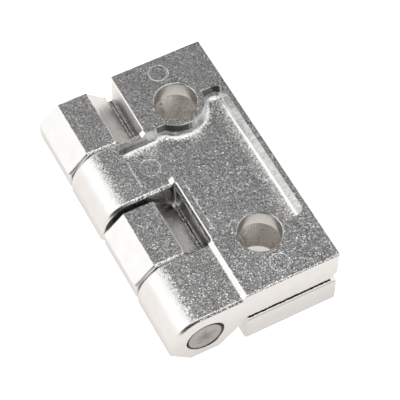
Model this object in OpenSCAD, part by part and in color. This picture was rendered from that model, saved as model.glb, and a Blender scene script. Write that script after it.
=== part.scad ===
// Butt hinge of two like cast leaves, folded shut face to face on one steel pin.
// Each leaf has two knuckles, a hollow in its back and two countersunk screw holes.
// The origin is on the fixed leaf's back, midway between its screw holes.
// +X runs from the pin to the free edges, +Y along the pin and +Z from the back to the front.

/* [Plate] */
// Length of each leaf, along the pin
leaf_length = 60; // [58:0.5:64]
// From the pin's axis to the free edge
leaf_reach = 30; // [29:0.5:36]
// Thickness of the plate
leaf_thickness = 8; // [7.75:0.25:10]
// Gap between the two leaves when folded shut
shut_gap = 0.5; // [0.3:0.05:0.9]
// From the pin's axis to the wall of the slots between knuckles
slot_wall = 9; // [8.8:0.05:9.4]
// Slope cut along the front of the free edge
free_edge_cut = 2; // [0.5:0.25:2.5]
// Radius of the plate's upright corners
corner_radius = 1; // [0.4:0.1:1.2]
// Edge break round the back of the plate
back_break = 0.25; // [0.1:0.05:0.4]
// Draft of the outer walls, in degrees
draft = 1; // [0.5:0.25:1.5]
// Depth of the parting line below the front face, as a share of the thickness
parting = 0.38; // [0.3:0.02:0.7]

/* [Screw holes] */
// Distance between the two screw holes of a leaf
hole_pitch = 36; // [34:0.5:38]
// From the pin's axis to the screw holes
hole_reach = 18.3; // [17.8:0.1:19]
// Diameter of the screw holes
hole_d = 9; // [8:0.1:9.5]
// Diameter of the countersink at the front face
sink_d = 17; // [14:0.25:17]
// Edge break of the hole at the back
hole_break = 0.2; // [0.1:0.05:0.4]

/* [Knuckles] */
// Radius of the knuckle's round side
knuckle_radius = 7.75; // [7.5:0.05:7.9]
// From the axis to the flat on the round side, which lies below the plate's back
back_flat = 7.4; // [7:0.05:7.5]
// Radius that eases the edge between that flat and the round side
shoulder_radius = 6; // [4:0.25:6.5]
// From the axis to the flat on the front of the knuckle
front_flat = 6.45; // [6:0.05:6.8]
// Width of that front flat, between its two slopes
front_flat_w = 6.6; // [6:0.1:7]
// Gap between neighbouring knuckles
knuckle_gap = 0.6; // [0.4:0.1:1.4]
// Room between a knuckle's root and the other leaf's slot wall
root_clear = 0.6; // [0.4:0.05:0.8]
// Width over which a knuckle's root drops to the plate's front
root_drop = 0.85; // [0.5:0.05:1]
// Radius in the upright corners of the slots
slot_radius = 0.7; // [0.2:0.05:0.8]
// Edge break round the ends of the knuckles
end_break = 0.5; // [0.2:0.05:0.7]

/* [Pin] */
// Diameter of the pin
pin_d = 8; // [6:0.25:8.25]
// Radial clearance of the pin in the moving leaf
pin_clear = 0.05; // [0.02:0.01:0.1]
// Depth of the pin's ends below the knuckles' end faces
pin_recess = 0.1; // [0.05:0.05:0.6]
// Edge break of the pin's ends
pin_break = 0.2; // [0.1:0.05:0.5]
// Edge break of the bore's mouths
bore_break = 0.3; // [0.1:0.05:0.5]

/* [Back hollow] */
// Depth of the hollow below the plate's back
hollow_depth = 3.3; // [2:0.1:3.5]
// Width of the rim left between the hollow and the outside
hollow_rim = 1.4; // [1:0.1:2]
// Wall of the boss round each screw hole
boss_wall = 1.5; // [1.2:0.1:2]
// Half the length of the hollow's narrow part, beside the slot wall
hollow_half = 14; // [13:0.25:14.5]
// From the pin's axis to the hollow's end inside a knuckle
hollow_in_knuckle = 2.4; // [1.5:0.1:5]
// Width of the rim at the hollow's outer side inside that knuckle
knuckle_rim = 1.1; // [0.8:0.1:2]
// Slope of the hollow's walls, in degrees
hollow_slope = 7; // [3:1:9]
// Radius at the foot of the hollow's walls
foot_radius = 1.2; // [0.3:0.05:1.3]
// Radius of the hollow's upright corners
hollow_corner = 1.1; // [0.5:0.1:1.5]

/* [Ejector marks] */
// Diameter of the fine ring that each of the mould's ejector pins leaves
mark_d = 4.1; // [3:0.1:4.5]
// Width of the ring's groove
mark_w = 0.36; // [0.2:0.02:0.5]
// Depth of the ring's groove
mark_depth = 0.12; // [0.05:0.01:0.2]
// From a screw hole's centre to the mark beside it, along the leaf
mark_offset = 8; // [7:0.1:8.5]

/* [Hidden] */
$fn = 96;

// Rounds a size to a thousandth, so that faces which meet use the same number
function mm(v) = round(v * 1000) / 1000;

knuckle_count = 4;
pitch = leaf_length / knuckle_count;
half_length = leaf_length / 2;
front_z = -shut_gap / 2;
back_z = front_z - leaf_thickness;
axis_z = -back_z;
parting_z = front_z - parting * leaf_thickness;
// How far the drafted walls lean in at the back and at the front of the plate
lean_back = mm((parting_z - back_z) * tan(draft));
lean_front = mm((front_z - parting_z) * tan(draft));
// Centre of the arc that eases the back flat's edge. It stands out by shoulder_out, so that the
// arc crosses the flat and the round side
shoulder_out = 0.01;
shoulder_turn = acos(back_flat / knuckle_radius) / 2;
shoulder_reach = sqrt((knuckle_radius - shoulder_radius) ^ 2 - (back_flat - shoulder_radius) ^ 2);
shoulder_x = mm(-shoulder_reach - shoulder_out * sin(shoulder_turn));
shoulder_z = mm(shoulder_radius - back_flat - shoulder_out * cos(shoulder_turn));
// The slopes beside the front flat lie at 45 degrees, on lines where x + z is this sum
slope_sum = front_flat_w / 2 + front_flat;
root_x = slot_wall - root_clear;
root_top_x = root_x - root_drop;
step = -back_z - back_flat;
// The slots' corners keep this much clear of the knuckle that turns in the slot
slot_spare = 0.1;
slot_fillet = min(slot_radius, knuckle_gap - slot_spare);

hollow_floor = back_z + hollow_depth;
hollow_x0 = slot_wall + hollow_rim;
hollow_x1 = leaf_reach - hollow_rim;
notch_half = hole_pitch / 2;
boss_r = hole_d / 2 + boss_wall;
sink_depth = (sink_d - hole_d) / 2;
// How far a cutting shape reaches past the surface that it cuts
past = 1;

// How far the hollow's walls lean in down to its floor, and lean out over a height of past
hollow_lean = mm(hollow_depth * tan(hollow_slope));
hollow_out = mm(past * tan(hollow_slope));
// A wall's foot begins this far from the sharp corner that it rounds
foot_setback = mm(foot_radius * tan(45 - hollow_slope / 2));
foot_side = mm(foot_setback * sin(hollow_slope));
foot_rise = mm(foot_setback * cos(hollow_slope));
// The foot's round is a little larger, so that it crosses the wall and the floor
foot_round = foot_radius + 0.002;
// The least flat between the rounded feet at an upright corner
corner_flat = 0.05;
corner_r = max(hollow_corner, hollow_lean + foot_setback + corner_flat);
// How far the cutter of a ring's groove stands above the surface, and its half width there
mark_over = 0.05;
mark_half = mark_w / 2 * (1 + mark_over / mark_depth);
// How far short of the hollow's end its branch into the knuckle stays
branch_inset = 0.5;
steel = [0.72, 0.71, 0.69];
zinc = [0.78, 0.78, 0.77];

// The near and far ends of knuckle i, counted from the -Y end of a leaf
function knuckle_start(i) = -half_length + i * pitch + (i > 0 ? knuckle_gap / 2 : 0);
function knuckle_end(i) =
    -half_length + (i + 1) * pitch - (i < knuckle_count - 1 ? knuckle_gap / 2 : 0);

// Draws its flat child, given in X and Z, along Y from y0 to y1
module along_y(y0, y1)
    translate([0, y1, 0]) rotate([90, 0, 0]) linear_extrude(y1 - y0) children();

// Draws its flat child, given in Y and Z, along X from x0 to x1
module along_x(x0, x1)
    translate([x0, 0, 0]) rotate([90, 0, 90]) linear_extrude(x1 - x0) children();

// Turns a profile given in radius and Y about the pin's axis
module about_pin() rotate([-90, 0, 0]) rotate_extrude() children();

// Block with round upright corners, from [x0, y0] to [x1, y1]
module round_block(x0, y0, x1, y1, r, h) {
    translate([x0 + r, y0, 0]) cube([x1 - x0 - 2 * r, y1 - y0, h]);
    translate([x0, y0 + r, 0]) cube([x1 - x0, y1 - y0 - 2 * r, h]);
    for (x = [x0 + r, x1 - r], y = [y0 + r, y1 - r]) translate([x, y, 0]) cylinder(h = h, r = r);
}

// Plate: its outline, cut to the section across the leaf
module plate() {
    intersection() {
        translate([0, 0, back_z])
            round_block(slot_wall, -half_length, leaf_reach, half_length,
                        corner_radius, leaf_thickness);
        along_y(-half_length, half_length) polygon([
            [slot_wall, front_z],
            [leaf_reach - lean_front - free_edge_cut, front_z],
            [leaf_reach - lean_front, front_z - free_edge_cut],
            [leaf_reach, parting_z],
            [leaf_reach - lean_back, back_z + back_break],
            [leaf_reach - lean_back - back_break, back_z],
            [slot_wall + back_break, back_z],
            [slot_wall, back_z + back_break]]);
    }
}

// Section along the leaf that every outer end keeps within: drafted from the parting line
module end_envelope() {
    top_z = knuckle_radius + past;
    top = half_length - (top_z - parting_z) * tan(draft);
    back = half_length - lean_back;
    along_x(-knuckle_radius - past, leaf_reach + past) polygon([
        [-top, top_z],
        [top, top_z],
        [half_length, parting_z],
        [back, back_z + back_break],
        [back - back_break, back_z],
        [back_break - back, back_z],
        [-back, back_z + back_break],
        [-half_length, parting_z]]);
}

// Knuckle and its root from y0 to y1: round at the back, three flats at the front
module knuckle_bar(y0, y1) {
    intersection() {
        along_y(y0, y1) circle(knuckle_radius);
        translate([-knuckle_radius - past, y0, -back_flat])
            cube([knuckle_radius + 2 * past, y1 - y0, back_flat]);
    }
    along_y(y0, y1) polygon([
        [-knuckle_radius, 0],
        [-knuckle_radius, slope_sum - knuckle_radius],
        [-front_flat_w / 2, front_flat],
        [front_flat_w / 2, front_flat],
        [root_top_x, slope_sum - root_top_x],
        [root_x, front_z],
        [slot_wall + corner_radius, front_z],
        [slot_wall + corner_radius, back_z],
        [slot_wall, back_z],
        [slot_wall - step, -back_flat],
        [0, -back_flat],
        [0, 0]]);
}

// Sector from the eased edge's centre that holds all that lies outside its arc
module shoulder_sector() {
    out = knuckle_radius + 2 * past;
    polygon([
        [shoulder_x, shoulder_z],
        [shoulder_x, -out],
        [shoulder_x, shoulder_z] * out / norm([shoulder_x, shoulder_z])]);
}

// What easing the edge between the back flat and the round side takes off a knuckle
module shoulder(y0, y1) {
    along_y(y0 - past, y1 + past) difference() {
        shoulder_sector();
        translate([shoulder_x, shoulder_z]) circle(shoulder_radius);
    }
}

// Cone that breaks the end edge of a round side of radius r about Y
module round_wedge(r)
    about_pin() polygon([
        [r + past, -end_break - past],
        [r - end_break - past, past],
        [r + past, past]]);

// Wedge that breaks the end edge of a flat whose outward normal is turned from +Z by angle,
// at the given distance from the axis and between u0 and u1 along the flat
module flat_wedge(angle, distance, u0, u1)
    rotate([0, angle, 0]) along_x(u0, u1) polygon([
        [-end_break - past, distance + past],
        [past, distance - end_break - past],
        [past, distance + past]]);

// Everything cut from the edges of one knuckle end, which lies at y = 0 and faces +Y
module end_wedges() {
    slope_distance = slope_sum / sqrt(2);
    flat_wedge(0, front_flat, -knuckle_radius, knuckle_radius);
    flat_wedge(-45, slope_distance, -knuckle_radius, knuckle_radius / 2);
    flat_wedge(45, slope_distance, -knuckle_radius / 2, (root_top_x * 2 - slope_sum) / sqrt(2));
    flat_wedge(-90, knuckle_radius, 0, knuckle_radius);
    flat_wedge(180, back_flat, -slot_wall + step, knuckle_radius);
    intersection() {
        round_wedge(knuckle_radius);
        translate([-2 * knuckle_radius, -leaf_length / 2, -2 * knuckle_radius])
            cube([2 * knuckle_radius, leaf_length, 2 * knuckle_radius]);
    }
    intersection() {
        translate([shoulder_x, 0, shoulder_z]) round_wedge(shoulder_radius);
        along_y(-end_break - 2 * past, 2 * past) shoulder_sector();
    }
}

// Knuckle i, with its back edge eased and its end edges broken
module knuckle(i) {
    difference() {
        knuckle_bar(knuckle_start(i), knuckle_end(i));
        shoulder(knuckle_start(i), knuckle_end(i));
        translate([0, knuckle_end(i), 0]) end_wedges();
        translate([0, knuckle_start(i), 0]) mirror([0, 1, 0]) end_wedges();
    }
}

// Bore for the pin through knuckle i, with both mouths broken
module bore(i, r) {
    y0 = knuckle_start(i);
    y1 = knuckle_end(i);
    about_pin() polygon([
        [0, y0 - past],
        [r + bore_break + past, y0 - past],
        [r, y0 + bore_break],
        [r, y1 - bore_break],
        [r + bore_break + past, y1 + past],
        [0, y1 + past]]);
}

// Fillet in the corner of a slot, where a knuckle's end at y = 0 faces +Y.
// It ends just below the slope that rises from the knuckle to the plate's back.
module slot_corner() {
    r = slot_fillet;
    top_z = back_z + back_break;
    intersection() {
        difference() {
            translate([slot_wall - r, -past / 2, back_z])
                cube([r + past / 2, r + past / 2, leaf_thickness]);
            translate([slot_wall - r, r, back_z - past])
                cylinder(h = leaf_thickness + 2 * past, r = r);
        }
        along_y(-past, r + past) polygon([
            [slot_wall - r - past, front_z],
            [slot_wall + past, front_z],
            [slot_wall + past, top_z],
            [slot_wall, top_z],
            [slot_wall - r - past, top_z + r + past]]);
    }
}

// What a rounded foot leaves out of a sharp one, for a wall at w on the side s of a trench
module foot_cut(w, s) {
    centre = w - s * (hollow_lean + foot_setback);
    difference() {
        polygon([
            [w + s * past, hollow_floor - foot_rise],
            [w + s * past, hollow_floor + past],
            [centre, hollow_floor + past],
            [centre, hollow_floor - foot_rise]]);
        translate([centre, hollow_floor - foot_radius]) circle(foot_round);
    }
}

// Section of a trench between sloped walls that meet the plate's back at w0 and w1
module trench_section(w0, w1) {
    difference() {
        polygon([
            [w0 - hollow_out, back_z - past],
            [w0 + hollow_lean, hollow_floor],
            [w1 - hollow_lean, hollow_floor],
            [w1 + hollow_out, back_z - past]]);
        foot_cut(w0, -1);
        foot_cut(w1, 1);
    }
}

// Pocket with sloped walls, round corners and a round foot, from [x0, y0] to [x1, y1]
module pocket(x0, y0, x1, y1) {
    along_y(y0 + corner_r, y1 - corner_r) trench_section(x0, x1);
    along_x(x0 + corner_r, x1 - corner_r) trench_section(y0, y1);
    for (x = [x0 + corner_r, x1 - corner_r], y = [y0 + corner_r, y1 - corner_r])
        translate([x, y, 0]) rotate_extrude() intersection() {
            trench_section(-corner_r, corner_r);
            translate([0, back_z - past]) square([2 * corner_r, hollow_depth + past]);
        }
}

// Boss round a screw hole: a cone that spreads to the hollow's floor over a round foot
module boss() {
    r = boss_r + hollow_lean;
    rotate_extrude() difference() {
        polygon([
            [0, back_z - 2 * past],
            [boss_r - 2 * hollow_out, back_z - 2 * past],
            [r - foot_side, hollow_floor - foot_rise],
            [r + foot_setback, hollow_floor],
            [r + foot_setback, hollow_floor + past],
            [0, hollow_floor + past]]);
        translate([r + foot_setback, hollow_floor - foot_radius]) circle(foot_round);
    }
}

// Hollow in the back: narrow beside the slots, wide between the bosses and the free edge
module hollow() {
    inner = knuckle_end(1) - hollow_rim;
    outer = max(knuckle_start(1) + knuckle_rim, branch_inset - hollow_half);
    difference() {
        union() {
            pocket(hollow_x0, -hollow_half, hole_reach + boss_r / 2, hollow_half);
            pocket(hole_reach, -notch_half, hollow_x1, notch_half);
        }
        for (y = [-1, 1] * hole_pitch / 2) translate([hole_reach, y, 0]) boss();
    }
    pocket(hollow_in_knuckle, outer, hollow_x0 + 2 * hollow_rim, inner);
}

// Screw hole from the back, with its countersink at the front
module screw_hole() {
    r = hole_d / 2;
    rotate_extrude() polygon([
        [0, back_z - past],
        [r + hole_break + past, back_z - past],
        [r, back_z + hole_break],
        [r, front_z - sink_depth],
        [r + sink_depth + past, front_z + past],
        [0, front_z + past]]);
}

// Ring that an ejector pin leaves in a surface at height z
module mark(z)
    translate([0, 0, z]) rotate_extrude() polygon([
        [mark_d / 2, mark_depth],
        [mark_d / 2 + mark_half, -mark_over],
        [mark_d / 2 - mark_half, -mark_over]]);

// Ejector marks: one beside each screw hole and one in the hollow of the inner knuckle
module marks() {
    for (y = [-1, 1] * (hole_pitch / 2 + mark_offset)) translate([hole_reach, y, 0]) mark(back_z);
    mid_y = (knuckle_start(1) + knuckle_end(1)) / 2;
    translate([slot_wall - 2, mid_y, 0]) mark(hollow_floor);
}

// One leaf, with the pin's axis at the origin and its back towards -Z
module leaf(bore_r) {
    difference() {
        intersection() {
            union() {
                plate();
                for (i = [1, 3]) knuckle(i);
                translate([0, knuckle_end(1), 0]) slot_corner();
                for (i = [1, 3]) translate([0, knuckle_start(i), 0]) mirror([0, 1, 0]) slot_corner();
            }
            end_envelope();
        }
        for (i = [1, 3]) bore(i, bore_r);
        for (y = [-1, 1] * hole_pitch / 2) translate([hole_reach, y, 0]) screw_hole();
        hollow();
        marks();
    }
}

// Moves a piece from the pin's axis to the part's own frame
module placed() translate([-hole_reach, 0, axis_z]) children();

module fixed_leaf() color(zinc) placed() leaf(pin_d / 2);

module moving_leaf() color(zinc) placed() rotate([180, 0, 0]) leaf(pin_d / 2 + pin_clear);

module hinge_pin() {
    end = half_length - pin_recess;
    r = pin_d / 2;
    color(steel) placed() about_pin() polygon([
        [0, -end],
        [r - pin_break, -end],
        [r, -end + pin_break],
        [r, end - pin_break],
        [r - pin_break, end],
        [0, end]]);
}

fixed_leaf();
moving_leaf();
hinge_pin();
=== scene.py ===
"""Dresses a closed butt hinge of two plated castings on one steel pin.

Lengths are in metres, or in millimetres where a name ends in MM, and +Z is up. The hinge lies on
the back of its fixed leaf.
"""

import math

import bmesh
import bpy
import numpy as np
from mathutils import Matrix, Vector


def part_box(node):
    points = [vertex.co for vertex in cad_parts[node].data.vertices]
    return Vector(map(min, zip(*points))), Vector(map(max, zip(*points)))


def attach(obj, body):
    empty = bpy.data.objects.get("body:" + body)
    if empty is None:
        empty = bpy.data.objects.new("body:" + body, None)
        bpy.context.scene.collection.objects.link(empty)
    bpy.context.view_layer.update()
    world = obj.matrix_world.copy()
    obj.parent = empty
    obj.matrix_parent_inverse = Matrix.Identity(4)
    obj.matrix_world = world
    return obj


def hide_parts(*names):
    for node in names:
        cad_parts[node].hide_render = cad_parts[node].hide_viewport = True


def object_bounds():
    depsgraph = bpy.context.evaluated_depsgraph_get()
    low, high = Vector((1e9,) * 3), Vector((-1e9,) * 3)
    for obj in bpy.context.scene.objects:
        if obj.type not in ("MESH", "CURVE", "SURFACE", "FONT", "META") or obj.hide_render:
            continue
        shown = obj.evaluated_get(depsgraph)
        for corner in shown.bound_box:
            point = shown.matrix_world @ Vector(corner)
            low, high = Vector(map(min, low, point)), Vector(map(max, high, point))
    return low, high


bl_info = {
    "name": "Butt Hinge",
    "version": (1, 0, 0),
    "blender": (4, 5, 0),
    "location": "3D View > Sidebar > Hinge",
    "description": "Builds the surfaces, finishes and studio of a cast butt hinge",
    "category": "Object",
}

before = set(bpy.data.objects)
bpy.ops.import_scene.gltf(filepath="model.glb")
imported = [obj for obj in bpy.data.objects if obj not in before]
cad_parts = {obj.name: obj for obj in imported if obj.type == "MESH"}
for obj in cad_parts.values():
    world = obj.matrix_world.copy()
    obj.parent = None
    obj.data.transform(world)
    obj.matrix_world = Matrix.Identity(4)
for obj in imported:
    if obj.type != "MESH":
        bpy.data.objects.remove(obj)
CAD_BOX = [list(corner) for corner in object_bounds()]

MM = 0.001
PIN_LO, PIN_HI = (np.array(corner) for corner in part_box("hinge_pin"))
# The middle of the pin's axis, and half the hinge's length along it
AXIS_MM = (PIN_LO + PIN_HI) / 2 / MM
END_MM = CAD_BOX[1][1] / MM

# The face attributes that the castings' finish reads
CAST_SKIN, HOLLOW, SHADED = "cast_skin", "hollow", "shaded"

# The cast grain's strength on walls and on the knuckles' slopes towards the leaf, the Z parts of
# a wall's and of a flat's normal, and the slopes' range of x from the pin's axis
WALL_SKIN, SLOPE_SKIN = 0.05, 0.45
STEEP, LEVEL = 0.8, 0.97
SLOPE_MM = (4.0, 9.0)

# The screw holes' place along Y, a radius that holds their bores, and the height off the middle
# between the leaves up to which a countersink's finish lasts
HOLE_Y_MM, BORE_MM, SINK_MM = 18.0, 5.0, 4.2

# The hollow's floor and the top of its eased feet, as heights off the middle between the leaves,
# and the ranges of x and of |y| that hold its faces, in the plate and in the knuckle
FLOOR_MM, FOOT_TOP_MM = 4.95, 6.8
HOLLOW_MM = ((-9.0, 10.8, 0.0, 20.5), (-16.5, -9.6, 2.5, 12.7))

# The hollow's shaded walls. SHADE_WAY is the way that the darkest one faces, as parts along X and
# |Y|. A wall whose normal has the part SHADE_FROM along it gets no shade, and full shade starts
# SHADE_RISE further. In the knuckle, beyond ARM_X_MM towards -X, the shade falls to ARM_SHADE.
SHADE_WAY = (-0.45, 0.89)
SHADE_FROM, SHADE_RISE = 0.75, 0.15
ARM_X_MM, ARM_SHADE = -7.0, 0.15

# The middle of the ejector mark in the knuckle's hollow, as x and |y|
MARK_MM = (-11.3, 7.5)
# Where the plate starts beside the slots, and the height of the fine line on the fixed leaf's ends
SLOT_X_MM = -9.2
LINE_MM = 6.95

# Edges: the least turn of a sharp one, and the turn below which faces count as one flat. Their
# rounds: the share of a narrow face that one may take, and its least share of the full width
SHARP, FLAT = math.radians(26), math.radians(0.4)
NARROW_SHARE = 0.4
LEAST_ROUND = 0.2

# The studio's height, the world's level as light, and the floor's glow towards the camera
STUDIO_M = 1.5
WORLD_LEVEL = 0.7
FLOOR_GLOW = 0.7
WHITE = (1.0, 1.0, 1.0, 1.0)


# Sizes and colours

class HingeSizes(bpy.types.PropertyGroup):
    """Sizes that a user may change."""

    edge_round: bpy.props.FloatProperty(
        name="Edge round", description="Width of the worn round on the castings' edges",
        default=0.14 * MM, min=0.0, max=0.3 * MM, subtype="DISTANCE", unit="LENGTH")
    grain: bpy.props.FloatProperty(
        name="Grain", description="Size of the castings' surface grains",
        default=0.2 * MM, min=0.1 * MM, max=2 * MM, subtype="DISTANCE", unit="LENGTH")
    grain_tilt: bpy.props.FloatProperty(
        name="Grain tilt", description="Tilt of the grains' small faces, as a slope",
        default=0.20, min=0.0, max=1.0, subtype="FACTOR")
    waviness: bpy.props.FloatProperty(
        name="Waviness", description="Depth of the castings' broad, soft unevenness",
        default=0.06 * MM, min=0.0, max=0.3 * MM, subtype="DISTANCE", unit="LENGTH")
    foot: bpy.props.FloatProperty(
        name="Foot", description="Radius over which the hollow's floor eases into its walls",
        default=2.0 * MM, min=0.0, max=4 * MM, subtype="DISTANCE", unit="LENGTH")
    # The reach of the painted shade in the slots' inner corners
    corner: bpy.props.FloatProperty(
        name="Corner", description="Reach of the grime in the slots' inner corners",
        default=6.0 * MM, min=0.5 * MM, max=10 * MM, subtype="DISTANCE", unit="LENGTH")
    pin_dome: bpy.props.FloatProperty(
        name="Pin dome", description="Height that the pin's ends bulge in their middle",
        default=0.05 * MM, min=0.0, max=0.1 * MM, subtype="DISTANCE", unit="LENGTH")
    pin_round: bpy.props.FloatProperty(
        name="Pin round", description="Radius of the round at the rim of the pin's ends",
        default=0.2 * MM, min=0.05 * MM, max=1 * MM, subtype="DISTANCE", unit="LENGTH")


class HingeColours(bpy.types.PropertyGroup):
    """Colours that a user may change."""

    plating: bpy.props.FloatVectorProperty(
        name="Plating", description="Colour of the plated castings",
        default=(0.90, 0.895, 0.885), size=3, min=0.0, max=1.0, subtype="COLOR")
    plating_dark: bpy.props.FloatVectorProperty(
        name="Plating, dull grains", description="Colour of the dull grains in the plating",
        default=(0.20, 0.20, 0.20), size=3, min=0.0, max=1.0, subtype="COLOR")
    sink: bpy.props.FloatVectorProperty(
        name="Countersinks",
        description="Colour of the duller plating in the countersinks and on worn spots",
        default=(0.83, 0.79, 0.74), size=3, min=0.0, max=1.0, subtype="COLOR")
    pin: bpy.props.FloatVectorProperty(
        name="Pin steel", description="Colour of the pin's bright steel",
        default=(0.52, 0.50, 0.475), size=3, min=0.0, max=1.0, subtype="COLOR")
    pin_dark: bpy.props.FloatVectorProperty(
        name="Pin steel, dull", description="Colour of the dull patches on the pin's ends",
        default=(0.24, 0.225, 0.20), size=3, min=0.0, max=1.0, subtype="COLOR")
    # Colour of painted shade in the bores, round the pin's rims, in the slots' corners, in the
    # leaves' gap and on the hollow's walls; it also darkens the fine line on the fixed leaf's ends
    # and the dull grains in the countersinks
    painted_shade_and_marks: bpy.props.FloatVectorProperty(
        name="Grime", description="Colour of the old oil in bores, corners and gaps",
        default=(0.03, 0.028, 0.025), size=3, min=0.0, max=1.0, subtype="COLOR")
    floor: bpy.props.FloatVectorProperty(
        name="Floor", description="Colour of the studio floor",
        default=(0.93, 0.93, 0.93), size=3, min=0.0, max=1.0, subtype="COLOR")
    floor_mirrored: bpy.props.FloatVectorProperty(
        name="Floor, mirrored", description="Colour of the floor as the metal mirrors it",
        default=(0.98, 0.945, 0.915), size=3, min=0.0, max=1.0, subtype="COLOR")


# Shader maths

class Value:
    """A socket of a material. A sum or product on it adds its Math node."""

    def __init__(self, tree, socket):
        self.tree, self.socket = tree, socket

    def _math(self, operation, a, b):
        return self.tree.node("ShaderNodeMath", {"operation": operation}, {0: a, 1: b})

    def __add__(self, other):
        return self._math("ADD", self, other)

    def __radd__(self, other):
        return self._math("ADD", other, self)

    def __sub__(self, other):
        return self._math("SUBTRACT", self, other)

    def __rsub__(self, other):
        return self._math("SUBTRACT", other, self)

    def __mul__(self, other):
        return self._math("MULTIPLY", self, other)

    def __rmul__(self, other):
        return self._math("MULTIPLY", other, self)

    def __pow__(self, other):
        return self._math("POWER", self, other)


class Tree:
    """The node tree of a new material, or of the world."""

    def __init__(self, owner):
        owner.use_nodes = True
        self.tree = owner.node_tree
        self.tree.nodes.clear()

    def node(self, kind, settings=None, sockets=None, out=0):
        """Adds a node, sets it up, fills its sockets with values or links, and gives one output."""
        made = self.tree.nodes.new(kind)
        for key, setting in (settings or {}).items():
            if key == "stops":
                self._stops(made.color_ramp, setting)
            else:
                setattr(made, key, setting)
        for key, value in (sockets or {}).items():
            if isinstance(value, Value):
                self.tree.links.new(value.socket, made.inputs[key])
            else:
                made.inputs[key].default_value = value
        return Value(self, made.outputs[out]) if len(made.outputs) else made

    @staticmethod
    def _stops(ramp, stops):
        while len(ramp.elements) < len(stops):
            ramp.elements.new(1.0)
        for element, (place, level) in zip(ramp.elements, stops):
            element.position = place
            element.color = (level, level, level, 1.0)

    def in_mm(self):
        """The object's own coordinates, in millimetres."""
        place = self.node("ShaderNodeTexCoord", out="Object")
        return self.node("ShaderNodeVectorMath", {"operation": "SCALE"}, {0: place, "Scale": 1 / MM})

    def parts(self, vector):
        """The X, Y and Z parts of a vector, or the red, green and blue of a colour."""
        first = self.node("ShaderNodeSeparateXYZ", {}, {0: vector})
        return [Value(self, socket) for socket in first.socket.node.outputs]

    def mark(self, name):
        """The piece's face attribute of this name."""
        return self.node("ShaderNodeAttribute", {"attribute_name": name}, {}, "Fac")

    def noise(self, place, size_mm, detail=2.0, rough=0.5):
        """Soft noise from 0 to 1, with patches of about size_mm."""
        return self.node("ShaderNodeTexNoise", {}, {
            "Vector": place, "Scale": 1 / size_mm, "Detail": detail, "Roughness": rough})

    def cells(self, place, size_mm):
        """Cells of about size_mm, each with one random colour."""
        return self.node("ShaderNodeTexVoronoi", {}, {"Vector": place, "Scale": 1 / size_mm}, "Color")

    def larger(self, a, b):
        """The larger of two values."""
        return self.node("ShaderNodeMath", {"operation": "MAXIMUM"}, {0: a, 1: b})

    def size(self, value):
        """The value without its sign."""
        return self.node("ShaderNodeMath", {"operation": "ABSOLUTE"}, {0: value})

    def tilted(self, normal, random, tilt):
        """The normal + tilt * (2 random - 1), made a unit vector again: random is from 0 to 1."""
        spread = self.node("ShaderNodeVectorMath", {"operation": "MULTIPLY_ADD"}, {
            0: random, 1: (2.0, 2.0, 2.0), 2: (-1.0, -1.0, -1.0)})
        push = self.node("ShaderNodeVectorMath", {"operation": "SCALE"}, {0: spread, "Scale": tilt})
        total = self.node("ShaderNodeVectorMath", {"operation": "ADD"}, {0: normal, 1: push})
        return self.node("ShaderNodeVectorMath", {"operation": "NORMALIZE"}, {0: total})

    def ramp(self, value, *stops):
        """A level over a value from 0 to 1. Each stop is a value and its level."""
        return self.node("ShaderNodeValToRGB", {"stops": stops}, {"Fac": value})

    def ramp_over(self, value, low, high, *stops):
        """A level over a value from low to high. Each stop is a value and its level."""
        span = high - low
        return self.ramp((value - low) * (1 / span), *(
            ((place - low) / span, level) for place, level in stops))

    def blend(self, factor, a, b):
        """Colour a where the factor is 0, and colour b where it is 1."""
        return self.node("ShaderNodeMix", {"data_type": "RGBA"}, {0: factor, 6: a, 7: b}, 2)


def rgba(colour):
    """The colour with full opacity."""
    return (*colour, 1.0)


# Distances inside the hinge, in millimetres

def off_axis(t, place, shift=0.0):
    """Distance from the pin's axis, moved by shift along +Z and -X."""
    x, _, z = t.parts(place)
    x, z = x - (AXIS_MM[0] - shift), z - (AXIS_MM[2] + shift)
    return (x * x + z * z) ** 0.5


def off_spot(t, place, spot):
    """Distance, seen from above, from the nearer of (spot x, spot y) and (spot x, -spot y)."""
    x, y, _ = t.parts(place)
    x, y = x - spot[0], t.size(y) - spot[1]
    return (x * x + y * y) ** 0.5


def off_middle(t, place):
    """Height above or below the middle between the leaves."""
    return t.size(t.parts(place)[2] - AXIS_MM[2])


def off_hole(t, place):
    """Distance from the nearer screw hole's axis, for a place inside the joint.

    Outside the countersinks' height it grows fast, so that only they are near.
    """
    above = t.larger(off_middle(t, place) - SINK_MM, 0.0)
    return off_spot(t, place, (0.0, HOLE_Y_MM)) + above * 20


# Painted shade and a fine line on the castings: each of these gives how dark a spot is, from 0 to 1

def corner_painted_shade(t, reach):
    """Painted shade where little is open to the air within reach, outside the hollow."""
    open_to_air = t.node("ShaderNodeAmbientOcclusion", {"samples": 8, "only_local": True}, {
        "Distance": reach}, "AO")
    return t.ramp(open_to_air, (0.5, 0.95), (0.82, 0.0)) * (1.0 - t.mark(HOLLOW))


def gap_painted_shade(t, place):
    """Painted shade with a ragged edge in the gap between the leaves, at the hinge's ends."""
    ragged = t.noise(place, 0.4, 2.0, 0.6)
    at_end = t.ramp_over(t.size(t.parts(place)[1]) + ragged, 0, 50,
                         (END_MM - 0.3, 0.0), (END_MM - 0.15, 1.0))
    return at_end * t.ramp(off_middle(t, place) + ragged, (0.92, 1.0), (0.98, 0.0))


def end_line(t, place):
    """A fine line along the fixed leaf's end walls, a little below its front face."""
    _, y, z = t.parts(place)
    at_end = t.ramp_over(t.size(y), 0, 50, (END_MM - 0.3, 0.0), (END_MM - 0.2, 1.0))
    return at_end * t.ramp(t.size(z - LINE_MM), (0.1, 0.5), (0.2, 0.0))


def wall_shade(t, place):
    """A dark band along the upper part of the hollow's shaded walls."""
    return t.mark(SHADED) * t.ramp_over(
        off_middle(t, place), 0, 10, (5.85, 0.0), (6.3, 0.9), (7.8, 0.9), (8.0, 0.0))


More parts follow.
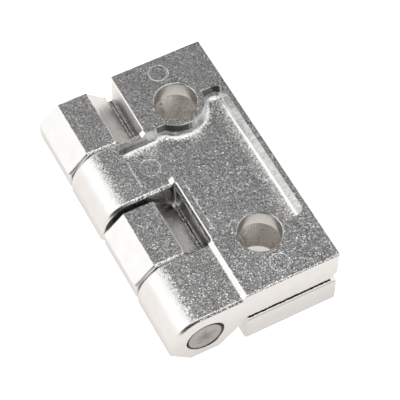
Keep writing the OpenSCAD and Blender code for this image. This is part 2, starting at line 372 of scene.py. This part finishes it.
def painted_shade_and_line(t, place, reach):
    """The darkest of the four: painted shade in the corners beside the knuckles, painted shade in the
    gap and the fine line on the plate, and the painted shade of the hollow's walls.
    """
    plate = t.ramp_over(t.parts(place)[0], -10, 0, (SLOT_X_MM, 0.0), (SLOT_X_MM + 0.2, 1.0))
    corner_shade = corner_painted_shade(t, reach) * (1.0 - plate)
    gap_shade_and_line = t.larger(gap_painted_shade(t, place), end_line(t, place)) * plate
    return t.larger(t.larger(corner_shade, wall_shade(t, place)), gap_shade_and_line)


# Finishes

def foot_normal(t, place, radius):
    """The normal, eased over radius on the hollow's floor and on the lower part of its walls.

    Round the ejector mark it stays plain, so that the mark's ring is kept.
    """
    low = t.ramp_over(off_middle(t, place), 0, 10, (FLOOR_MM + 0.5, 1.0), (FOOT_TOP_MM, 0.0))
    beside_mark = t.ramp_over(off_spot(t, place, MARK_MM), 0, 10, (2.6, 0.0), (3.4, 1.0))
    eased = t.node("ShaderNodeBevel", {"samples": 8}, {"Radius": radius})
    plain = t.node("ShaderNodeNewGeometry", {}, {}, "Normal")
    return t.node("ShaderNodeMix", {"data_type": "VECTOR"}, {
        0: low * beside_mark * t.mark(HOLLOW), 4: plain, 5: eased}, 1)


def plated_casting(sizes, colours):
    """Satin plating over a cast skin: fine grains that catch the light, and painted shade in the
    bores.

    A grain is one cell with a random tilt, and the grains of the lowest random numbers are dull.
    """
    material = bpy.data.materials.new("plated_casting")
    t = Tree(material)
    place = t.in_mm()
    grain_mm = sizes.grain / MM
    skin = t.mark(CAST_SKIN)
    waves = t.noise(place, 4 * grain_mm, 1.0) + t.noise(place, 7.0, 1.0) * 3
    wavy = t.node("ShaderNodeBump", {}, {
        "Strength": 1.0, "Distance": sizes.waviness, "Height": waves * skin,
        "Normal": foot_normal(t, place, sizes.foot)})
    grain = t.cells(place, grain_mm)
    normal = t.tilted(wavy, grain, skin * sizes.grain_tilt)
    dull = t.ramp(t.parts(grain)[0], (0.13, 1.0), (0.38, 0.0))
    worn = t.ramp(t.noise(place, 2.5, 3.0, 0.6), (0.4, 0.0), (0.7, 0.35))
    plating = t.blend(worn * (1.0 - t.mark(HOLLOW)), rgba(colours.plating), rgba(colours.sink))
    plating = t.blend(dull * skin ** 6, plating, rgba(colours.plating_dark))
    # Painted shade, and the fine line on the fixed leaf's ends, darken the plating
    plating = t.blend(painted_shade_and_line(t, place, sizes.corner), plating, rgba(colours.painted_shade_and_marks))
    sink = t.ramp_over(off_hole(t, place), 0, 10, (8.4, 1.0), (8.6, 0.0))
    in_sink = t.blend(dull * 0.35, rgba(colours.sink), rgba(colours.painted_shade_and_marks))
    # Painted shade: inside the bore's radius, round the pin, the plating turns dark
    beyond_bore_shade = t.ramp_over(off_axis(t, place), 0, 10, (4.08, 0.0), (4.16, 1.0))
    shader = t.node("ShaderNodeBsdfPrincipled", {}, {
        "Base Color": t.blend(beyond_bore_shade, rgba(colours.painted_shade_and_marks), t.blend(sink, plating, in_sink)),
        "Metallic": 1.0, "Roughness": 0.24 + 0.03 * skin + 0.14 * sink, "Normal": normal})
    t.node("ShaderNodeOutputMaterial", {}, {"Surface": shader})
    return material


def pin_steel(sizes, colours):
    """Peened steel: dull and bright patches on the ends, and painted shade round their rims."""
    material = bpy.data.materials.new("pin_steel")
    t = Tree(material)
    place = t.in_mm()
    fine = t.noise(place, 0.35, 3.0, 0.6)
    patches = off_axis(t, place) * 0.16 + t.noise(place, 1.2, 4.0, 0.7) * 1.1
    patches = t.ramp(patches, (0.5, 0.0), (0.95, 1.0))
    bump = t.node("ShaderNodeBump", {}, {
        "Strength": 1.0, "Distance": 0.03 * MM, "Height": fine * 0.7 + patches * 0.3})
    steel = t.blend(patches * 0.8 + fine * 0.2, rgba(colours.pin_dark), rgba(colours.pin))
    # Painted shade: a dark, ragged ring at the rims of the pin's ends, wider towards +X and -Z
    # because its middle is moved
    rim = t.ramp_over(off_axis(t, place, 0.14) + fine * 0.15, 0, 10, (3.62, 0.0), (3.74, 1.0))
    shader = t.node("ShaderNodeBsdfPrincipled", {}, {
        "Base Color": t.blend(rim, steel, rgba(colours.painted_shade_and_marks)),
        "Metallic": 1.0, "Roughness": 0.5 - 0.15 * patches, "Normal": bump})
    t.node("ShaderNodeOutputMaterial", {}, {"Surface": shader})
    return material


# Meshes

def sheet_mesh(name, points, closed_v=False):
    """A mesh of quads over a grid of points of shape (u, v, 3); closed_v joins its v ends."""
    nu, nv = points.shape[:2]
    index = np.arange(nu * nv).reshape(nu, nv)
    after = np.roll(index, -1, axis=1) if closed_v else index[:, 1:]
    before = index if closed_v else index[:, :-1]
    quads = np.stack([before[:-1], before[1:], after[1:], after[:-1]], axis=-1).reshape(-1, 4)
    mesh = bpy.data.meshes.new(name)
    mesh.from_pydata(points.reshape(-1, 3), [], quads)
    return mesh


def add_object(name, mesh, material):
    """Puts a mesh with one material into the scene, at the origin."""
    mesh.materials.clear()
    mesh.materials.append(material)
    obj = bpy.data.objects.new(name, mesh)
    bpy.context.scene.collection.objects.link(obj)
    return obj


def tidy_mesh(mesh, flat_angle=None):
    """Merges doubles, which closes poles, and turns the faces outwards.

    Where flat_angle is given, faces that turn by less than it are joined as well.
    """
    bm = bmesh.new()
    bm.from_mesh(mesh)
    bmesh.ops.remove_doubles(bm, verts=bm.verts, dist=1e-6)
    if flat_angle is not None:
        bmesh.ops.dissolve_limit(bm, angle_limit=flat_angle, verts=bm.verts, edges=bm.edges)
    bmesh.ops.recalc_face_normals(bm, faces=bm.faces)
    bm.to_mesh(mesh)
    bm.free()


def edge_weights(mesh, width):
    """Marks the edges that get a round: an edge between faces that turn by more than SHARP.

    Its weight is 1, or less beside a face too narrow for the full width: NARROW_SHARE of the
    face's height over the width, where the height is the face's area over the edge's length.
    Below LEAST_ROUND it is 0, because beside slivers a round would run off the surface.
    """
    bm = bmesh.new()
    bm.from_mesh(mesh)
    layer = bm.edges.layers.float.new("bevel_weight_edge")
    for edge in bm.edges:
        if len(edge.link_faces) == 2 and edge.calc_face_angle(0.0) > SHARP:
            height = min(face.calc_area() for face in edge.link_faces) / edge.calc_length()
            share = min(1.0, NARROW_SHARE * height / width)
            edge[layer] = share if share >= LEAST_ROUND else 0.0
            edge.smooth = False
    bm.to_mesh(mesh)
    bm.free()


def face_marks(mesh):
    """Stores the face attributes cast_skin, hollow and shaded.

    The first is how strongly a face shows the cast grain. For a face whose normal has the Z
    part n, it is 1 where |n| is over LEVEL, WALL_SKIN where |n| is under STEEP, and on a straight
    line in between: the walls and the knuckles' sides came smoother out of the mould. The
    knuckles' slopes that face the leaf get SLOPE_SKIN, and the broken edges along flats get 1.
    The second is 1 in the back hollow. The third is how fully the hollow's walls are in shade,
    and grows as a wall's normal comes near SHADE_WAY.
    """
    count = len(mesh.polygons)
    normals, middles = np.empty(3 * count), np.empty(3 * count)
    mesh.polygons.foreach_get("normal", normals)
    mesh.polygons.foreach_get("center", middles)
    normals = normals.reshape(-1, 3)
    signed_nx = normals[:, 0]
    nx, ny, nz = np.abs(normals).T
    x, y, z = middles.reshape(-1, 3).T / MM
    off, y = np.abs(z - AXIS_MM[2]), np.abs(y)

    share = np.clip((nz - STEEP) / (LEVEL - STEEP), 0, 1)
    beside_pin = x - AXIS_MM[0]
    slope = (signed_nx > 0.5) & (nz > 0.5)
    share[slope & (beside_pin > SLOPE_MM[0]) & (beside_pin < SLOPE_MM[1])] = SLOPE_SKIN
    share[(np.abs(ny - math.sqrt(0.5)) < 0.004) & (nx < 0.05)] = 1

    inside = np.zeros(count, dtype=bool)
    for x0, x1, y0, y1 in HOLLOW_MM:
        inside |= (x > x0) & (x < x1) & (y > y0) & (y < y1)
    inside &= (off > FLOOR_MM - 0.01) & (np.hypot(x, y - HOLE_Y_MM) > BORE_MM)

    facing = SHADE_WAY[0] * signed_nx + SHADE_WAY[1] * ny
    shaded = inside * (nz < STEEP) * np.clip((facing - SHADE_FROM) / SHADE_RISE, 0, 1)
    shaded *= np.clip(x - ARM_X_MM, ARM_SHADE, 1)

    for name, values in ((CAST_SKIN, WALL_SKIN + (1 - WALL_SKIN) * share),
                         (HOLLOW, inside * 1.0), (SHADED, shaded)):
        mesh.attributes.new(name, "FLOAT", "FACE").data.foreach_set("value", values)


def rounded_copy(node, name, width, material):
    """A merged copy of a CAD node whose sharp edges get a small round."""
    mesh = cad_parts[node].data.copy()
    mesh.name = name
    tidy_mesh(mesh, flat_angle=FLAT)
    mesh.polygons.foreach_set("use_smooth", [True] * len(mesh.polygons))
    edge_weights(mesh, width)
    face_marks(mesh)
    obj = add_object(name, mesh, material)
    bevel = obj.modifiers.new("edge_round", "BEVEL")
    bevel.offset_type = "ABSOLUTE"
    bevel.width = width
    bevel.segments = 2
    bevel.limit_method = "WEIGHT"
    bevel.use_clamp_overlap = False
    weigh = obj.modifiers.new("flat_faces", "WEIGHTED_NORMAL")
    weigh.mode = "FACE_AREA"
    weigh.weight = 100
    weigh.keep_sharp = True
    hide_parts(node)
    return obj


def pin_mesh(sizes):
    """A shaft turned about its axis along Y.

    Its profile (r, y) runs over one end's dome, y = end - dome * (r / flat)^2, then a quarter
    round of the rim, and along the side to the other end. Each profile point is turned through
    the angles a as (r cos a, y, r sin a).
    """
    dome_rings, rim_rings, turn_steps = 14, 6, 96
    radius = (PIN_HI[0] - PIN_LO[0]) / 2
    half = (PIN_HI[1] - PIN_LO[1]) / 2
    centre = (PIN_LO + PIN_HI) / 2
    flat = radius - sizes.pin_round
    r = np.linspace(0, flat, dome_rings)
    dome = np.stack([r, half - sizes.pin_dome * (r / flat) ** 2], axis=1)
    a = np.linspace(0, math.pi / 2, rim_rings + 1)[1:]
    rim = np.stack([flat + sizes.pin_round * np.sin(a),
                    half - sizes.pin_dome - sizes.pin_round * (1 - np.cos(a))], axis=1)
    end = np.concatenate([dome, rim])
    profile = np.concatenate([end, end[::-1] * (1, -1)])
    turn = np.linspace(0, 2 * math.pi, turn_steps, endpoint=False)
    r, y = profile[:, :1], profile[:, 1:]
    points = np.stack([r * np.cos(turn), y + 0 * turn, r * np.sin(turn)], axis=-1) + centre
    mesh = sheet_mesh("pin_shaft", points, closed_v=True)
    tidy_mesh(mesh)
    mesh.shade_smooth()
    return mesh


# Operators

class HINGE_OT_leaves(bpy.types.Operator):
    """Gives both leaves worn edges and a plated, cast finish"""

    bl_idname = "hinge.leaves"
    bl_label = "Leaves"

    def execute(self, context):
        sizes, colours = context.scene.hinge_sizes, context.scene.hinge_colours
        finish = plated_casting(sizes, colours)
        for node, body in (("fixed_leaf", "fixed"), ("moving_leaf", "moving")):
            leaf = rounded_copy(node, node + "_casting", sizes.edge_round, finish)
            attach(leaf, body)
        return {"FINISHED"}


class HINGE_OT_pin(bpy.types.Operator):
    """Makes the pin with rounded, slightly domed ends"""

    bl_idname = "hinge.pin"
    bl_label = "Pin"

    def execute(self, context):
        sizes, colours = context.scene.hinge_sizes, context.scene.hinge_colours
        pin = add_object("pin_shaft", pin_mesh(sizes), pin_steel(sizes, colours))
        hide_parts("hinge_pin")
        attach(pin, "fixed")
        return {"FINISHED"}


class HINGE_OT_stage(bpy.types.Operator):
    """Makes the studio: a white floor, a ceiling and a side to mirror, one lamp and the camera"""

    bl_idname = "hinge.stage"
    bl_label = "Studio"

    def execute(self, context):
        make_floor(context.scene.hinge_colours)
        make_ceiling()
        make_dark_side()
        make_lights(context.scene)
        make_camera(context.scene)
        context.scene.view_settings.view_transform = "Standard"
        return {"FINISHED"}


# Studio

def flat_sheet(name, x0, y0, x1, y1, z, material):
    """A level rectangle: each corner is one end of the ranges of x and y, at height z."""
    x, y = np.meshgrid([x0, x1], [y0, y1], indexing="ij")
    sheet = add_object(name, sheet_mesh(name, np.stack([x, y, z + 0 * x], axis=-1)), material)
    return sheet


def make_floor(colours):
    """A white floor. To the camera and in reflections it also glows, so that it reads as white.

    In reflections it is a little dimmer within 8 mm of the hinge, as in its shadow.
    """
    material = bpy.data.materials.new("floor")
    t = Tree(material)
    paper = t.node("ShaderNodeBsdfDiffuse", {}, {"Color": rgba(colours.floor)})
    glow = t.node("ShaderNodeEmission", {}, {
        "Color": WHITE, "Strength": t.node("ShaderNodeLightPath", out="Is Camera Ray") * FLOOR_GLOW})
    lit = t.node("ShaderNodeAddShader", {}, {0: paper, 1: glow})
    x, y, _ = t.parts(t.in_mm())
    (x0, y0, _), (x1, y1, _) = np.array(CAD_BOX) / MM
    beside = t.larger(*(t.size(along - (low + high) / 2) - (high - low) / 2
                        for along, low, high in ((x, x0, x1), (y, y0, y1))))
    mirrored = t.node("ShaderNodeEmission", {}, {
        "Color": rgba(colours.floor_mirrored),
        "Strength": t.ramp_over(beside, 0, 10, (0.0, 0.78), (3.0, 0.86), (8.0, 1.0))})
    shader = t.node("ShaderNodeMixShader", {}, {
        0: t.node("ShaderNodeLightPath", out="Is Glossy Ray"), 1: lit, 2: mirrored})
    t.node("ShaderNodeOutputMaterial", {}, {"Surface": shader})
    flat_sheet("floor", -8.0, -8.0, 8.0, 8.0, CAD_BOX[0][2], material)


def glow_only(name, level_of):
    """A material that only glows, at the level that level_of gives for the sheet's X and Y."""
    material = bpy.data.materials.new(name)
    t = Tree(material)
    x, y, _ = t.parts(t.node("ShaderNodeTexCoord", out="Object"))
    glow = t.node("ShaderNodeEmission", {}, {"Color": WHITE, "Strength": level_of(t, x, y)})
    t.node("ShaderNodeOutputMaterial", {}, {"Surface": glow})
    return material


def only_mirrored(obj):
    """Leaves a piece of the studio to be seen in reflections alone."""
    for ray in ("camera", "diffuse", "transmission", "shadow", "volume_scatter"):
        setattr(obj, "visible_" + ray, False)


def make_ceiling():
    """A studio ceiling that is bright towards -X and in two bands along X, and dim elsewhere.

    The light towards -X fades out towards -Y, and the bands fade out towards -X.
    """
    def level(t, x, y):
        left = t.ramp_over(-1.0 * x, -1, 3, (-0.48, 0.10), (-0.04, 0.42), (0.4, 0.68), (1.4, 0.92))
        beyond = t.ramp_over(y, -2, 2, (-0.8, 0.0), (-0.2, 1.0))
        bands = t.ramp_over(y, -2, 2, (-1.24, 1.5), (-1.04, 0.04), (-0.76, 0.04),
                            (-0.52, 1.4), (0.0, 0.8), (0.36, 0.0))
        right = t.ramp_over(x, -2, 2, (-0.8, 0.1), (-0.2, 1.0))
        return 1.3 * (left * beyond + bands * right)
    material = glow_only("ceiling", level)
    only_mirrored(flat_sheet("ceiling", -7.0, -2.0, 2.0, 4.0, STUDIO_M, material))


def make_dark_side():
    """The camera's side of the studio: an upright wall, dark on the left and light on the right.

    It stands on an arc (2 cos a, 2 sin a) about the hinge, with a from -150 to 5 degrees.
    """
    def level(t, x, y):
        return t.ramp_over(x, -2, 2, (0.48, 0.04), (1.04, 0.6))
    material = glow_only("dark_side", level)
    a, z = np.meshgrid(np.radians(np.linspace(-150, 5, 41)), [0.0, STUDIO_M], indexing="ij")
    points = np.stack([2 * np.cos(a), 2 * np.sin(a), z], axis=-1)
    sheet = add_object("dark_side", sheet_mesh("dark_side", points), material)
    only_mirrored(sheet)


def make_lights(scene):
    """A world that is white to the camera and in reflections, and one large soft lamp."""
    world = bpy.data.worlds.new("studio")
    scene.world = world
    t = Tree(world)
    seen, mirrored, through = (t.node("ShaderNodeLightPath", out=ray) for ray in (
        "Is Camera Ray", "Is Glossy Ray", "Is Transmission Ray"))
    plain = t.larger(seen, t.larger(mirrored, through))
    glow = t.node("ShaderNodeBackground", {}, {
        "Color": WHITE, "Strength": WORLD_LEVEL + (1 - WORLD_LEVEL) * plain})
    t.node("ShaderNodeOutputWorld", {}, {"Surface": glow})

    lamp = bpy.data.lights.new("soft_lamp", "AREA")
    lamp.shape = "SQUARE"
    lamp.size = 0.5
    lamp.energy = 2.0
    lamp_object = bpy.data.objects.new("soft_lamp", lamp)
    lamp_object.visible_glossy = False
    lamp_object.location = (-0.45, 0.25, 0.55)
    towards = Vector((0, 0, 0)) - lamp_object.location
    lamp_object.rotation_euler = towards.to_track_quat("-Z", "Y").to_euler()
    scene.collection.objects.link(lamp_object)


def make_camera(scene):
    """A long lens above the hinge's near left, aimed at the middle of the closed leaves."""
    azimuth, elevation, roll = (math.radians(a) for a in (-28.57, 56.76, 0.80))
    target = Vector((-4.46, -1.32, 8.5)) * MM
    distance = 391.0 * MM
    back = Vector((math.sin(azimuth) * math.cos(elevation),
                   -math.cos(azimuth) * math.cos(elevation), math.sin(elevation)))
    right = (-back).cross(Vector((0, 0, 1))).normalized()
    up = right.cross(-back)
    tilted = math.cos(roll) * right + math.sin(roll) * up
    upright = -math.sin(roll) * right + math.cos(roll) * up
    camera = bpy.data.cameras.new("camera")
    camera.lens, camera.sensor_width = 172.2, 36.0
    camera.clip_start, camera.clip_end = 0.02, 20.0
    placed = bpy.data.objects.new("camera", camera)
    turn = Matrix((tilted, upright, back)).transposed()
    placed.matrix_world = Matrix.Translation(target + distance * back) @ turn.to_4x4()
    scene.collection.objects.link(placed)
    scene.camera = placed


# Panel and run

class HINGE_PT_panel(bpy.types.Panel):
    """Lists the hinge's pieces, sizes and colours"""

    bl_idname = "HINGE_PT_panel"
    bl_label = "Butt Hinge"
    bl_space_type = "VIEW_3D"
    bl_region_type = "UI"
    bl_category = "Hinge"

    def draw(self, context):
        for group in (context.scene.hinge_sizes, context.scene.hinge_colours):
            box = self.layout.box()
            for name in group.__annotations__:
                box.prop(group, name)
        for operator in OPERATORS:
            self.layout.operator(operator.bl_idname)


OPERATORS = (HINGE_OT_leaves, HINGE_OT_pin, HINGE_OT_stage)
CLASSES = (HingeSizes, HingeColours, *OPERATORS, HINGE_PT_panel)


def register():
    for cls in CLASSES:
        bpy.utils.register_class(cls)
    bpy.types.Scene.hinge_sizes = bpy.props.PointerProperty(type=HingeSizes)
    bpy.types.Scene.hinge_colours = bpy.props.PointerProperty(type=HingeColours)


def unregister():
    del bpy.types.Scene.hinge_sizes, bpy.types.Scene.hinge_colours
    for cls in reversed(CLASSES):
        bpy.utils.unregister_class(cls)


def main():
    register()
    bpy.ops.hinge.leaves()
    bpy.ops.hinge.pin()
    bpy.ops.hinge.stage()


if __name__ == "__main__":
    main()
